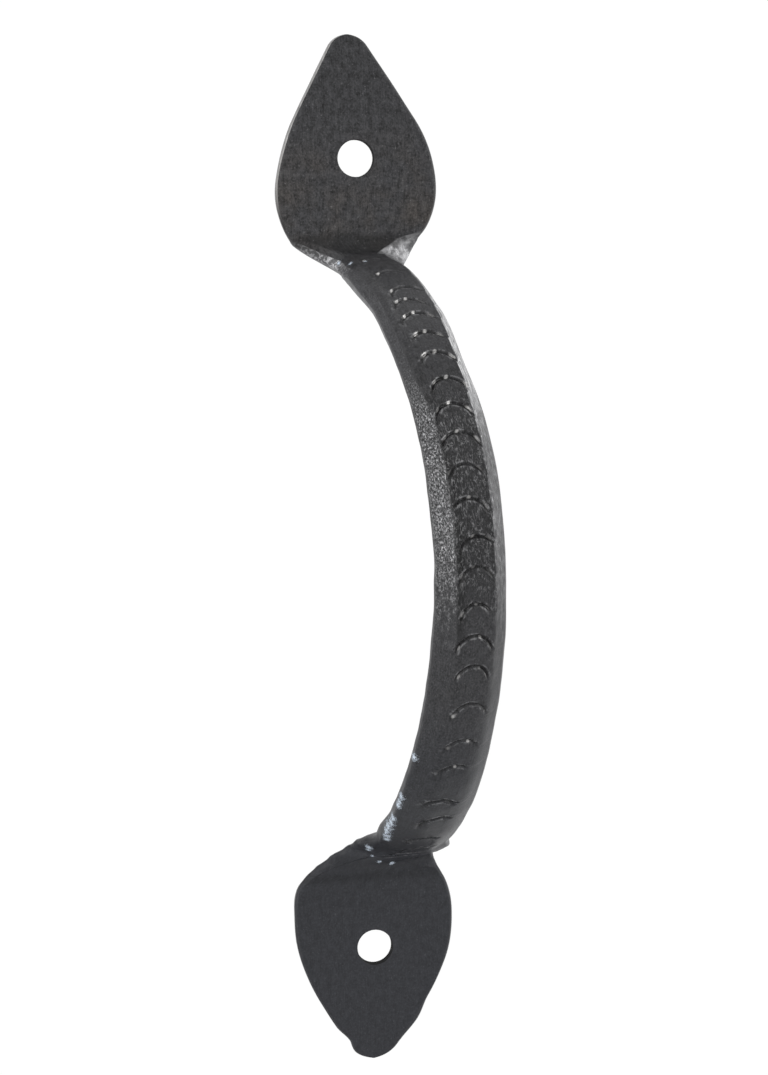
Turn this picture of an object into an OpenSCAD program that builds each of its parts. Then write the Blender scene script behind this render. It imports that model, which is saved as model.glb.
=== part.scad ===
// Hand-forged bow pull, made from one bar of steel. Each end is drawn out to a thin spade-shaped
// leaf with one screw hole. Between the leaves the bar is bent into a bow for the hand. The bow
// has a flat front face between two long bevels, and half-round chisel marks struck along it.
// Z runs along the pull and the wall is the plane Y = 0. The bow stands out toward -Y, and its
// feet and its top lie a little toward +X of the leaves' centre line, as it came off the anvil.
// The origin lies on the wall, halfway between the two screw holes.

/* [Leaf plates] */
// Thickness of the leaf plates
plate_t = 2.1; // [1.6:0.1:3]
// Chamfer along the front edges of the leaves
edge_chamfer = 0.5; // [0.2:0.1:0.7]
// Greatest width of the upper leaf
upper_leaf_w = 31.4; // [29:0.2:36]
// Upper leaf from its root crease to its tip
upper_leaf_len = 39; // [37:0.5:48]
// Height of the upper leaf's widest place above its root crease
upper_belly = 9.3; // [8:0.1:11]
// Radius of the upper leaf's sides, from the widest place toward the tip
upper_side_r = 27; // [24:0.5:36]
// Radius of the upper leaf's rounded tip
upper_tip_r = 4.4; // [2.5:0.1:5]
// How far the upper leaf's tip lies to one side of its screw hole
upper_tip_drift = -1.2; // [-2:0.1:2]
// How far the middle of the upper leaf's root crease lies to one side of its screw hole
upper_root_drift = -0.5; // [-1:0.1:1]
// Greatest width of the lower leaf
lower_leaf_w = 31.8; // [29:0.2:36]
// Lower leaf from its root crease to its tip
lower_leaf_len = 38.3; // [36.5:0.1:48]
// Depth of the lower leaf's widest place below its root crease
lower_belly = 8.9; // [8:0.1:11]
// Radius of the lower leaf's sides, from the widest place toward the tip
lower_side_r = 33; // [24:0.5:36]
// Radius of the lower leaf's rounded tip
lower_tip_r = 6; // [2.5:0.1:6.5]
// How far the lower leaf's tip lies to one side of its screw hole
lower_tip_drift = -0.8; // [-2:0.1:2]
// How far the middle of the lower leaf's root crease lies to one side of its screw hole
lower_root_drift = 0.2; // [-1:0.1:1]
// Radius of the round shoulders where both leaves narrow to the bow
shoulder_r = 15.3; // [14.5:0.1:18]

/* [Screw holes] */
// Diameter of both screw holes
hole_d = 7.1; // [4:0.1:9]
// Screw hole centre from the leaf's root crease
hole_from_root = 15.5; // [12:0.1:19]

/* [Bow] */
// Distance between the two root creases, where the bow leaves the leaves
bow_span = 125; // [100:1:150]
// Front of the bow above the wall at mid length
bow_rise = 48; // [36:0.5:56]
// Lean of the bow to one side
bow_lean = 12; // [0:0.5:20]
// Height above the wall at which the bow has its whole lean
lean_height = 14; // [10:0.5:20]
// Inside radius of the bend between a leaf and the bow
root_r = 3; // [2:0.1:4.5]
// How far the bow swings aside above mid length, and the other way below it
bow_sway = 0.8; // [-2:0.1:2]
// How far the bow is tucked to -X between mid length and its feet
bow_tuck = 0.45; // [0:0.05:1]
// How far the bow's upper foot stands to one side of the leaf's centre line
upper_foot_shift = 1.7; // [-3:0.1:6]
// How far the bow's lower foot stands to one side of the leaf's centre line
lower_foot_shift = 5; // [-3:0.1:6]

/* [Bar] */
// Width of the bar at mid length
bar_w = 13.6; // [12:0.1:18]
// Width of the bar at its upper root
upper_root_w = 12.4; // [11.5:0.1:16]
// Width of the bar at its lower root
lower_root_w = 15.4; // [11.5:0.1:16.5]
// Extra width where the bar swells halfway to its lower root
lower_swell = 1; // [0:0.1:3]
// Thickness of the bar at mid length
bar_t = 5.6; // [5:0.1:8]
// Thickness of the bar at its upper root
upper_root_t = 4.4; // [3:0.1:6.5]
// Thickness of the bar at its lower root
lower_root_t = 6; // [3:0.1:6.5]
// Width of the front face at mid length
face_w = 7.4; // [6:0.1:9]
// Width of the front face at the upper root
upper_face_w = 9; // [6:0.1:10]
// Width of the front face at the lower root
lower_face_w = 6.6; // [6:0.1:10]
// Depth of the long bevels beside the front face
bevel_d = 3.1; // [1.5:0.1:3.5]
// Depth that is left of the bevels at the roots
root_bevel_d = 0.8; // [0.4:0.1:1.2]
// Chamfer along the bar's back edges at mid length, on the finger side
back_chamfer = 1; // [0.4:0.1:1.3]
// Chamfer along the bar's back edges at the roots
root_back_chamfer = 1.4; // [0.4:0.1:2]
// Chamfer along the leaves' back edges, against the wall
wall_chamfer = 0.3; // [0.1:0.1:0.5]

/* [Chisel marks] */
// Radius of the half-round chisel
mark_r = 3.6; // [2.5:0.1:4.5]
// Depth of a mark
mark_d = 0.5; // [0.2:0.05:0.8]
// Width of a mark at the surface
mark_w = 1; // [0.5:0.1:1.5]
// Tilt of the marks, whose ends on the +X side lie higher
mark_tilt = 5; // [-10:1:15]
// Distance between marks at mid length
mark_pitch = 6.5; // [4:0.1:10]
// Crowding of the marks toward the upper root
mark_crowding = 0.15; // [0:0.01:0.2]
// Bare length of the bar between the highest mark and the upper root
upper_bare = 7; // [6:0.5:20]
// How far the main run of marks goes on below mid length
main_run = 38; // [20:1:44]
// First mark of the lower run, below mid length
lower_run_start = 47.5; // [46:0.5:60]
// Distance between the marks of the lower run
lower_run_pitch = 5.5; // [4:0.1:9]
// Bare length of the bar between the lowest mark and the lower root
lower_bare = 4; // [4:0.5:12]

/* [Hidden] */

shoulder_steps = 6;
side_steps = 6;
tip_steps = 6;
bend_steps = 6;
bow_steps = 40;
// How long a leaf's width lasts round the bend before it has narrowed to the bar's
root_flare = 1.5;
// How long the bend's middle stays with the leaf before it moves over to the bow's foot
root_lag = 2.2;
// How soon the front face narrows round the bend, which leaves a web on each side of it
face_flare = 0.7;
// How far the webs beside the front face slope back
web_d = 1;
// Share of the edge's height that a web's slope may take
web_share = 0.6;
// How late the bar widens toward its lower root
lower_flare = 2.5;
// Share of the tip radius that is left flat at the very tip
tip_flat = 0.2;
// Half the sweep of one chisel mark, in degrees each side of its crown
mark_sweep = 70;
// How far cutters stand clear of the surface that they cut
clear = 0.3;

root_z = bow_span / 2;
hole_z = root_z + hole_from_root;

// The bow's front is an arc that meets both root bends without a kink, bow_end degrees away
// from mid length
bow_reach = bow_rise - plate_t;
joined_r = (root_z * root_z + bow_reach * bow_reach) / (2 * bow_reach);
bow_r = joined_r - root_r;
bow_end = asin(root_z / joined_r);

// A leaf's sizes in one row: length, width, widest place, side radius, tip radius, tip drift,
// root drift
upper_leaf = [
    upper_leaf_len, upper_leaf_w, upper_belly, upper_side_r, upper_tip_r,
    upper_tip_drift, upper_root_drift
];
lower_leaf = [
    lower_leaf_len, lower_leaf_w, lower_belly, lower_side_r, lower_tip_r,
    lower_tip_drift, lower_root_drift
];

// Eases from 0 to 1 with flat ends
function ease(x) =
    let (c = min(max(x, 0), 1))
    c * c * (3 - 2 * c);

function mix(a, b, x) = a + (b - a) * x;

// Angle of the straight flank between a leaf's side arc and its tip arc
function flank_angle(leaf) =
    let (along = leaf[0] - leaf[4] - leaf[2])
    let (across = leaf[3] - leaf[1] / 2)
    let (apart = sqrt(along * along + across * across))
    90 - atan2(across, along) - acos((leaf[3] - leaf[4]) / apart);

// Half the leaf's width at the root crease
function leaf_root(leaf) =
    leaf[1] / 2 - shoulder_r + sqrt(pow(shoulder_r, 2) - pow(leaf[2], 2));

// Outline of a leaf from its root crease to its tip, as [distance, half width]
function leaf_profile(leaf) =
    let (start = asin(leaf[2] / shoulder_r))
    let (flank = flank_angle(leaf))
    [
        for (i = [0 : shoulder_steps - 1])
            let (a = start * (1 - i / shoulder_steps))
            [leaf[2] - shoulder_r * sin(a), leaf[1] / 2 - shoulder_r * (1 - cos(a))],
        for (i = [0 : side_steps])
            let (a = flank * i / side_steps)
            [leaf[2] + leaf[3] * sin(a), leaf[1] / 2 - leaf[3] * (1 - cos(a))],
        for (i = [0 : tip_steps - 1])
            let (a = mix(flank, acos(tip_flat), i / tip_steps))
            [leaf[0] - leaf[4] * (1 - sin(a)), leaf[4] * cos(a)],
        [leaf[0], tip_flat * leaf[4]]
    ];

// How far the bow has leaned over where its front is at height u above the wall
function lean_at(u) =
    bow_lean * ease((u - plate_t - root_r / 6) / (lean_height - plate_t - root_r / 6));

// How far to one side of the leaves' centre line the bow stands at level z
function shift_at(z) =
    let (k = z / (bow_r * sin(bow_end)))
    let (between_feet = mix(lower_foot_shift, upper_foot_shift, (1 + k) / 2))
    between_feet + bow_sway * sin(180 * k) - bow_tuck * sin(180 * k * k);

// How far the middle of a leaf lies to one side, at a distance from its root crease
function drift_at(leaf, along) =
    let (root_side = pow(1 - along / leaf[2], 2))
    let (tip_side = pow((along - leaf[2]) / (leaf[0] - leaf[2]), 2))
    along < leaf[2] ? leaf[6] * root_side : leaf[5] * tip_side;

function outward(lean) = [sin(lean), -cos(lean), 0];

function sideways(lean) = [cos(lean), sin(lean), 0];

// One ring of the bar: eight points round a section that has a flat front, bevelled
// front edges and chamfered back edges. It is set out from the middle of its front, at
// height u and level z and shifted to one side. The direction into the metal is turn degrees
// from square to the wall, up or down. Sizes are [width, face width, bevel depth, thickness,
// back chamfer].
function ring(u, z, shift, turn, lean, sizes) =
    let (side = sideways(lean))
    let (inward = -cos(turn) * outward(lean) - sin(turn) * [0, 0, 1])
    let (front = u * outward(lean) + [shift, 0, z])
    let (w = sizes[0] / 2)
    let (f = sizes[1] / 2)
    let (b = sizes[2])
    let (t = sizes[3])
    let (c = sizes[4])
    [
        for (p = [[-f, 0], [f, 0], [w, b], [w, t - c], [w - c, t], [c - w, t], [-w, t - c], [-w, b]])
            front + p[0] * side + p[1] * inward
    ];

function leaf_sizes(half) =
    let (chamfer = min(edge_chamfer, half / 2))
    [2 * half, 2 * (half - chamfer), chamfer, plate_t, min(wall_chamfer, half / 2)];

// Sizes of the bar at q along the bow, from -1 at the lower root to 1 at the upper root
function bar_sizes(q) =
    let (far = abs(q))
    let (upper_w = mix(bar_w, upper_root_w, far))
    let (swell = lower_swell * pow(sin(180 * far), 2))
    let (lower_w = mix(bar_w, lower_root_w, pow(far, lower_flare)) + swell)
    [
        q > 0 ? upper_w : lower_w,
        mix(face_w, q > 0 ? upper_face_w : lower_face_w, far),
        mix(bevel_d, root_bevel_d, pow(far, 5)),
        mix(bar_t, q > 0 ? upper_root_t : lower_root_t, far * far),
        mix(back_chamfer, root_back_chamfer, pow(far, 5))
    ];

// Rings of a leaf, in the order of its profile
function leaf_rings(leaf, way) =
    [
        for (p = leaf_profile(leaf))
            ring(plate_t, way * (root_z + p[0]), drift_at(leaf, p[0]), 0, 0, leaf_sizes(p[1]))
    ];

// Rings round the bend between a leaf and the bow, from the bow's end. The back never passes
// the wall.
function bend_rings(leaf, way) =
    let (bar_end = bar_sizes(way))
    let (leaf_end = leaf_sizes(leaf_root(leaf)))
    let (foot = shift_at(way * bow_r * sin(bow_end)))
    [
        for (i = [0 : bend_steps - 1])
            let (a = bow_end * (1 - i / bend_steps))
            let (round_it = sin(a) / sin(bow_end))
            let (across = pow(round_it, root_flare))
            let (deep = pow(a / bow_end, 2))
            let (u = plate_t + root_r * (1 - cos(a)))
            let (shift = mix(drift_at(leaf, 0), foot, pow(round_it, root_lag)))
            let (w = mix(leaf_end[0], bar_end[0], across))
            let (f = mix(leaf_end[1], bar_end[1], pow(round_it, face_flare)))
            let (t = min(mix(leaf_end[3], bar_end[3], deep), u / cos(a)))
            let (c = mix(leaf_end[4], bar_end[4], deep))
            let (web = web_d * sin(180 * a / bow_end))
            let (b = min(mix(leaf_end[2], bar_end[2], deep) + web, web_share * (t - c)))
            ring(u, way * (root_z - root_r * sin(a)), shift, way * a, lean_at(u), [w, f, b, t, c])
    ];

// Height of the bow's front at angle t from mid length
function bow_u(t) = bow_rise - bow_r * (1 - cos(t));

// Rings of the bow between the bends, from the lower root to the upper one
bow_rings = [
    for (i = [1 - bow_steps : 2 : bow_steps - 1])
        let (q = i / bow_steps)
        let (t = q * bow_end)
        let (z = bow_r * sin(t))
        ring(bow_u(t), z, shift_at(z), t, lean_at(bow_u(t)), bar_sizes(q))
];

function reversed(list) = [for (i = [len(list) - 1 : -1 : 0]) list[i]];

// The whole bar from the tip of the lower leaf to the tip of the upper one
bar_rings = concat(
    reversed(leaf_rings(lower_leaf, -1)),
    reversed(bend_rings(lower_leaf, -1)),
    bow_rings,
    bend_rings(upper_leaf, 1),
    leaf_rings(upper_leaf, 1)
);

// Skin over a row of closed rings that all have as many points
module skin(rings) {
    n = len(rings[0]);
    last = len(rings) - 1;
    polyhedron(
        points = [for (r = rings) for (p = r) p],
        faces = [
            [for (k = [0 : n - 1]) k],
            for (j = [0 : last - 1], k = [0 : n - 1])
                let (here = j * n + k)
                let (next = j * n + (k + 1) % n)
                for (f = [[here, here + n, next + n], [here, next + n, next]])
                    f,
            [for (k = [n - 1 : -1 : 0]) last * n + k]
        ]
    );
}

module screw_holes() {
    for (z = [-hole_z, hole_z])
        translate([0, clear, z])
            rotate([90, 0, 0])
                cylinder(d = hole_d, h = plate_t + 2 * clear, $fn = 64);
}

// Degrees round the bow for a length along its front
function turn_of(s) = s / bow_r * 180 / PI;

// Groove that one blow of the chisel leaves, with its crown at length s from mid length
module chisel_mark(s) {
    c = turn_of(s - mark_r);
    z = bow_r * sin(c);
    lip = mark_w / 2 * (1 + clear / mark_d);
    translate(bow_u(c) * outward(lean_at(bow_u(c))) + [shift_at(z), 0, z])
        rotate([0, 0, lean_at(bow_u(c))])
            rotate([90 - c, 0, 0])
                rotate([0, 0, 90 + mark_tilt - mark_sweep])
                    rotate_extrude(angle = 2 * mark_sweep, $fn = 48)
                        polygon([[mark_r - lip, clear], [mark_r, -mark_d], [mark_r + lip, clear]]);
}

module chisel_marks() {
    bow_len = bow_end * PI / 180 * bow_r;
    count = ceil(bow_len / (1 - mark_crowding) / mark_pitch);
    for (i = [-count : count]) {
        even = mark_pitch * (i + 0.5);
        crowding = even > 0 ? mark_crowding : 0;
        s = even * (1 - crowding * pow(even / bow_len, 2));
        if (s < bow_len - upper_bare && s > -main_run)
            chisel_mark(s);
    }
    for (s = [lower_run_start : lower_run_pitch : bow_len - lower_bare])
        chisel_mark(-s);
}

module forged_pull() {
    color([0.23, 0.23, 0.24])
        difference() {
            skin(bar_rings);
            screw_holes();
            chisel_marks();
        }
}

forged_pull();
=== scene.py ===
from collections import namedtuple
from math import acos, asin, atan2, cos, dist, hypot, pi, radians, sin, sqrt

import bmesh
import bpy
from bpy.props import FloatProperty, FloatVectorProperty, IntProperty, PointerProperty
from mathutils import Matrix, Vector, noise


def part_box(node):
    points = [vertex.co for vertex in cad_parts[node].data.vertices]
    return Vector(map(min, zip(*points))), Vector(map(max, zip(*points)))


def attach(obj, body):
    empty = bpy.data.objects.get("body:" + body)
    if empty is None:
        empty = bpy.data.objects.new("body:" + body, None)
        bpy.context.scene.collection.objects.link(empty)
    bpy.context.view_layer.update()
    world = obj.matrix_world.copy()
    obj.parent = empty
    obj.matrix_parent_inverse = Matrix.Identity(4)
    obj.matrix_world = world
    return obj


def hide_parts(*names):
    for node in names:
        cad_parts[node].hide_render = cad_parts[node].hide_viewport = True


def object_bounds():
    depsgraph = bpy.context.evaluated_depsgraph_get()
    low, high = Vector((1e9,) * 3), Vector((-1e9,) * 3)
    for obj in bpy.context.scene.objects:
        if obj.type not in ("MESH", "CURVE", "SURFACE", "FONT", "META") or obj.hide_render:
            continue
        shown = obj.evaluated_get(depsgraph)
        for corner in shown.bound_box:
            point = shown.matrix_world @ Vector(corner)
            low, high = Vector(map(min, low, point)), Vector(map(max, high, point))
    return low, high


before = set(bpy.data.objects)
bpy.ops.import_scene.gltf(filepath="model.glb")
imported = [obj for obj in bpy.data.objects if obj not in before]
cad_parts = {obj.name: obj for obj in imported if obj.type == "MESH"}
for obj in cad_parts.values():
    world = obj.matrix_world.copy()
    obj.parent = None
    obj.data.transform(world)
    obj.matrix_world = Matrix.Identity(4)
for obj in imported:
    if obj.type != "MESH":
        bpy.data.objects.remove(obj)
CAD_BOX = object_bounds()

bl_info = {
    "name": "Forged bow pull",
    "version": (1, 0, 0),
    "blender": (4, 5, 0),
    "location": "View3D > Sidebar > Pull",
    "description": "Builds a hand-forged bow pull in blackened steel and a plain studio for it",
    "category": "Object",
}

MM = 0.001
NODE = "forged_pull"
# The photograph's frame, in pixels
PHOTO_W = 768
PHOTO_H = 1075


def length(name, description, mm):
    return FloatProperty(name=name, description=description, default=mm * MM, unit="LENGTH")


def angle(name, description, value):
    return FloatProperty(name=name, description=description, default=radians(value), subtype="ANGLE")


def share(name, description, value):
    return FloatProperty(name=name, description=description, default=value, subtype="FACTOR", min=0, max=1)


def colour(name, description, value):
    return FloatVectorProperty(name=name, description=description, default=value, subtype="COLOR",
                               min=0, max=1)


class PullSizes(bpy.types.PropertyGroup):
    """Sizes of the forged pull, as in its construction"""
    plate_t: length("Leaf thickness", "Thickness of the leaf plates", 2.1)
    edge_chamfer: length("Edge chamfer", "Chamfer along the front edges of the leaves", 0.5)
    wall_chamfer: length("Wall chamfer", "Chamfer along the leaves' back edges", 0.3)
    shoulder_r: length("Shoulder radius", "Radius of the leaves' round shoulders", 15.3)
    upper_leaf_w: length("Upper leaf width", "Greatest width of the upper leaf", 31.4)
    upper_leaf_len: length("Upper leaf length", "Upper leaf from root crease to tip", 39)
    upper_belly: length("Upper belly", "Upper leaf's widest place above its root crease", 9.3)
    upper_side_r: length("Upper side radius", "Radius of the upper leaf's sides", 27)
    upper_tip_r: length("Upper tip radius", "Radius of the upper leaf's tip", 4.4)
    upper_tip_drift: length("Upper tip drift", "How far the upper tip lies to one side", -1.2)
    upper_root_drift: length("Upper root drift", "How far the upper root lies to one side", -0.5)
    lower_leaf_w: length("Lower leaf width", "Greatest width of the lower leaf", 31.8)
    lower_leaf_len: length("Lower leaf length", "Lower leaf from root crease to tip", 38.3)
    lower_belly: length("Lower belly", "Lower leaf's widest place below its root crease", 8.9)
    lower_side_r: length("Lower side radius", "Radius of the lower leaf's sides", 33)
    lower_tip_r: length("Lower tip radius", "Radius of the lower leaf's tip", 6)
    lower_tip_drift: length("Lower tip drift", "How far the lower tip lies to one side", -0.8)
    lower_root_drift: length("Lower root drift", "How far the lower root lies to one side", 0.2)
    hole_d: length("Screw hole", "Diameter of both screw holes", 7.1)
    hole_from_root: length("Hole place", "Screw hole centre from the root crease", 15.5)
    bow_span: length("Bow span", "Distance between the two root creases", 125)
    bow_rise: length("Bow rise", "Front of the bow above the wall at mid length", 48)
    bow_lean: angle("Bow lean", "Lean of the bow to one side", 12)
    lean_height: length("Lean height", "Height at which the bow has its whole lean", 14)
    root_r: length("Root bend", "Inside radius of the bend between leaf and bow", 3)
    bow_sway: length("Bow sway", "How far the bow swings aside above mid length", 0.8)
    bow_tuck: length("Bow tuck", "How far the bow is tucked aside between mid length and its feet", 0.45)
    upper_foot_shift: length("Upper foot", "How far the upper foot stands to one side", 1.7)
    lower_foot_shift: length("Lower foot", "How far the lower foot stands to one side", 5)
    bar_w: length("Bar width", "Width of the bar at mid length", 13.6)
    upper_root_w: length("Upper root width", "Width of the bar at its upper root", 12.4)
    lower_root_w: length("Lower root width", "Width of the bar at its lower root", 15.4)
    lower_swell: length("Lower swell", "Extra width halfway to the lower root", 1)
    bar_t: length("Bar thickness", "Thickness of the bar at mid length", 5.6)
    upper_root_t: length("Upper root thickness", "Thickness at the upper root", 4.4)
    lower_root_t: length("Lower root thickness", "Thickness at the lower root", 6)
    face_w: length("Face width", "Width of the front face at mid length", 7.4)
    upper_face_w: length("Upper face width", "Width of the front face at the upper root", 9)
    lower_face_w: length("Lower face width", "Width of the front face at the lower root", 6.6)
    bevel_d: length("Bevel depth", "Depth of the long bevels beside the front face", 3.1)
    root_bevel_d: length("Root bevel depth", "Depth left of the bevels at the roots", 0.8)
    back_chamfer: length("Back chamfer", "Chamfer along the bar's back edges", 1)
    root_back_chamfer: length("Root back chamfer", "Chamfer along the back edges at the roots", 1.4)


class MarkSizes(bpy.types.PropertyGroup):
    """Sizes of the chisel marks and of the hammer's traces"""
    depth: length("Mark depth", "Depth of a mark", 0.5)
    outer_wall: length("Outer wall", "Width of a groove's steep outer wall", 0.36)
    inner_wall: length("Inner wall", "Width of a groove's inner wall", 0.6)
    dish: length("Dish", "Reach of the shallow dish inside a mark", 3)
    dish_depth: length("Dish depth", "Depth of the dish inside a mark", 0.16)
    lip: length("Lip", "Height of the metal raised round a groove", 0.07)
    peen: length("Peening", "Depth of the hammer's dents in the left bevel", 0.12)
    wave: length("Wave", "Unevenness of the hammered outline", 0.14)
    nibble: length("Nibble", "How far a mark's right end draws in the edge of the face", 0.3)
    crinkle: length("Crinkle", "Height of the folds in the webs", 0.22)


class PullFinish(bpy.types.PropertyGroup):
    """Colours of the blackened and handled steel, and of its painted highlights, glints and shade"""
    black: colour("Blackened steel", "The blackened surface", (0.0315, 0.0315, 0.0335))
    brown: colour("Brown tint", "Brownish oxide", (0.038, 0.0345, 0.0325))
    blue: colour("Blue tint", "Bluish oxide", (0.0245, 0.0265, 0.033))
    steel: colour("Bare steel", "Steel where the black has worn off", (0.42, 0.42, 0.43))
    # Paler steel painted on the right bevel's upper end as a highlight
    bright: colour("Bright steel", "The right bevel's upper end", (0.64, 0.64, 0.65))
    # Colour of the painted glints on the marks' rims and of the painted highlight on the upper leaf's left
    # rim
    rim: colour("Rim", "Polished spots on the rims of the marks", (0.55, 0.54, 0.53))
    deep: colour("Deep black", "Scale inside the marks and dents", (0.007, 0.007, 0.007))
    # Painted shade inside the screw holes
    wall: colour("Hole wall", "Walls of the screw holes", (0.012, 0.012, 0.012))
    # Colour of the pale rubbed spots and of the painted highlights at the roots
    scuff: colour("Scuff", "Pale scuffs at the lower root", (0.62, 0.70, 0.80))
    roughness: share("Roughness", "Roughness of the blackened surface", 0.42)


class StudioSettings(bpy.types.PropertyGroup):
    """Camera and light of the plain studio"""
    azimuth: angle("Azimuth", "Camera's direction around the pull", -9)
    elevation: angle("Elevation", "Camera's height above the pull", 6.97)
    roll: angle("Roll", "Camera's roll", -1.406)
    distance: length("Distance", "Camera to the frame's origin", 502.4)
    focal: FloatProperty(name="Focal length", description="In pixels of the photograph", default=2549.4)
    origin_x: IntProperty(name="Origin x", description="Photograph's column of the origin", default=364)
    origin_y: IntProperty(name="Origin y", description="Photograph's row of the origin", default=559)
    floor_gap: length("Floor gap", "Floor below the lower leaf's tip", 120)
    paper: colour("Paper", "The white floor and backdrop", (0.82, 0.82, 0.82))


End = namedtuple("End", "leaf_len leaf_w belly side_r tip_r tip_drift root_drift foot_shift root_w root_t "
                 "face_w")
Section = namedtuple("Section", "left right face_left face_right bevel thick chamfer left_across left_bevel")
Station = namedtuple("Station", "front sideways inward section leafy")
Mark = namedtuple("Mark", "run across tilt sweep radius depth shine")
Bulge = namedtuple("Bulge", "run reach left right face")
Root = namedtuple("Root", "left_flare right_flare left_web right_web left_start right_start right_grow "
                  "web_depth")

# The chisel marks as the hand struck them, from the upper root to the lower one:
# run from mid length and place across in mm, tilt and half sweep in degrees, radius in mm, share of
# the full depth, and how strong the painted glints at the rim's left, top and right are
STRUCK = (
    (76.2, 0, 8, 48, 3.6, 0.2, 0.5, 0, 0), (70.4, 0.1, 14, 58, 3.6, 0.35, 1, 0, 0),
    (64.2, 0.6, 13, 67, 3.7, 0.75, 0.9, 0, 0), (60.1, -0.3, 1, 66, 3.6, 0.85, 0.6, 0.6, 0.1),
    (56, 0.1, 6, 67, 3.9, 0.95, 1, 0.7, 0.35), (50.7, 0.1, 0, 60, 3.7, 1, 0.8, 0.7, 0.4),
    (45.7, 0.2, -3, 66, 3.9, 1.1, 0.9, 0.9, 0.9), (39.7, 0.5, -3, 76, 4, 1.05, 0.55, 0.9, 0.9),
    (34.3, -0.2, 4, 78, 3.9, 0.9, 0.35, 0.9, 0.9), (28.5, -0.4, -1, 78, 4, 0.85, 0.25, 0.7, 0.8),
    (22.4, -0.5, 10, 78, 3.8, 0.8, 0.15, 0, 0.3), (16, -0.9, -6, 70, 3.8, 0.85, 0, 0.6, 0.3),
    (9.1, 0.2, 12, 66, 3.7, 0.95, 0, 0.5, 0.3), (3.5, -0.3, 10, 76, 3.5, 0.75, 0.3, 0.2, 0.1),
    (-3.2, -0.3, 10, 77, 3.1, 0.95, 0.5, 0.3, 0.3), (-9.1, -0.4, -1, 80, 3.7, 1, 0.3, 0.6, 0.5),
    (-14.9, -0.3, -4, 79, 3.4, 0.9, 0.4, 0.2, 0.4), (-22.6, 0.2, 0, 80, 3.7, 0.85, 0.7, 0, 0.2),
    (-30.6, -0.1, -1, 67, 3.5, 0.8, 0.25, 0.6, 0), (-36.9, -0.4, 18, 59, 3.5, 0.8, 0, 0.5, 0),
    (-47, -1.3, 2, 62, 3.5, 1, 0, 0, 0), (-53.1, 0.2, 25, 64, 3.5, 1.1, 0, 0, 0),
    (-62, -0.5, 16, 59, 3.5, 1.15, 0, 0, 0), (-67.8, 0.7, 30, 70, 3.5, 1.35, 0, 0, 0),
    (-72.0, 0.9, 26, 62, 3.5, 1.3, 0, 0, 0), (-75.2, 1.2, 22, 56, 3.5, 1.0, 0, 0, 0),
)
# Painted glints on a mark's rim, left, top and right: place as a share of the half sweep at the
# upper marks and at the lower ones, half length and half width in mm
GLINT_SPOTS = ((-0.57, -0.85, 0.75, 0.28), (-0.05, 0.25, 0.5, 0.30), (0.68, 0.75, 1.0, 0.11))
# Where the hammer has drawn the bar wider or narrower: run and reach along the bar, and how far the
# left side, the right side and the face's right edge go out there, in mm
BULGES = [Bulge(*row) for row in (
    (101, 9, -0.45, 0, 0), (80.3, 2.5, 0.5, 0.7, 0), (70, 10, 0.9, 0, 0), (57, 14, 0, 0.75, 0.6),
    (34, 22, -0.3, 0.3, 0), (24, 22, 0.25, 0.35, 0), (0, 34, 0.1, 0.1, 0), (-17, 16, 0.2, 0.2, 0),
    (-40, 18, 0.25, 0.15, 0), (-54, 16, 0.6, 0.1, 0), (-66, 8, 0.7, 0, 0), (-73.5, 3, 0.9, 0, 0),
    (-78, 6, 1.6, 0, 0), (-76, 4.5, 0, 1.8, 0.6), (-78.2, 2.2, 0, 0.4, 0.1), (-76.5, 3.5, 1.5, 0, 0),
    (-81, 4, 0.9, 0, 0), (-86, 6, 0.55, 0, 0), (-83.5, 3.5, 0.5, 0, 0), (-114, 5, 0.1, 0.8, 0),
    (-117.5, 3, -0.8, 0, 0),
)]

# How the webs beside the roots are forged: exponents of both sides' flare, widths of the sloping webs
# in mm, where they start before the crease in mm, over what length the right one grows in mm, and
# how far they slope back in mm
UPPER_ROOT = Root(1.5, 1.5, 1.5, 3.2, -1.0, 1.3, 1.3, 1.7)
LOWER_ROOT = Root(1.2, 1.5, 1.0, 1.4, 0.0, 0.5, 2.5, 0.5)

# The lower root's left side is hammered into one slope toward the leaf: where that starts along the
# bow as a share, over what share it grows, how far it goes in across the back, and how deep, in mm
AWAY_START = 0.85
AWAY_REACH = 0.13
AWAY_ACROSS = 5.6
LEFT_SLOPE = 1.6

# The chisel's hand: how uneven a mark's arc and bite are, how much further round it reaches on the
# left, over what angle it fades and how far past its sweep, a groove's lip and broadest wall, the
# place of the lowest marks, how far below its right end a mark nibbles the face, and how near to a
# groove the sheet is finer
ARC_UNEVEN = 0.035
BITE_UNEVEN = 0.5
LEFT_EXTRA = radians(12)
FADE = radians(26)
FADE_PAST = radians(8)
LIP_W = 0.22 * MM
BROAD_WALL = 0.75 * MM
LOWEST_MARKS = -40 * MM
NIBBLE_LEN = 4 * MM
NEAR_GROOVE = 0.8 * MM
# The hammer's hand: the bumps' length along the outline and along the face's edges
OUTLINE_BUMP = 8 * MM
EDGE_BUMP = 2.5 * MM
# The webs: where one begins on the leaf, over what length it grows, how far it fades out up the bow,
# how much further from the leaf the upper root's left one starts, and the deepest bevel they make
WEB_START = -2.5 * MM
WEB_GROW = 5 * MM
WEB_FADE = 6 * MM
LEFT_WEB_LATER = 1.6 * MM
DEEPEST_BEVEL = 0.78

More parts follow.
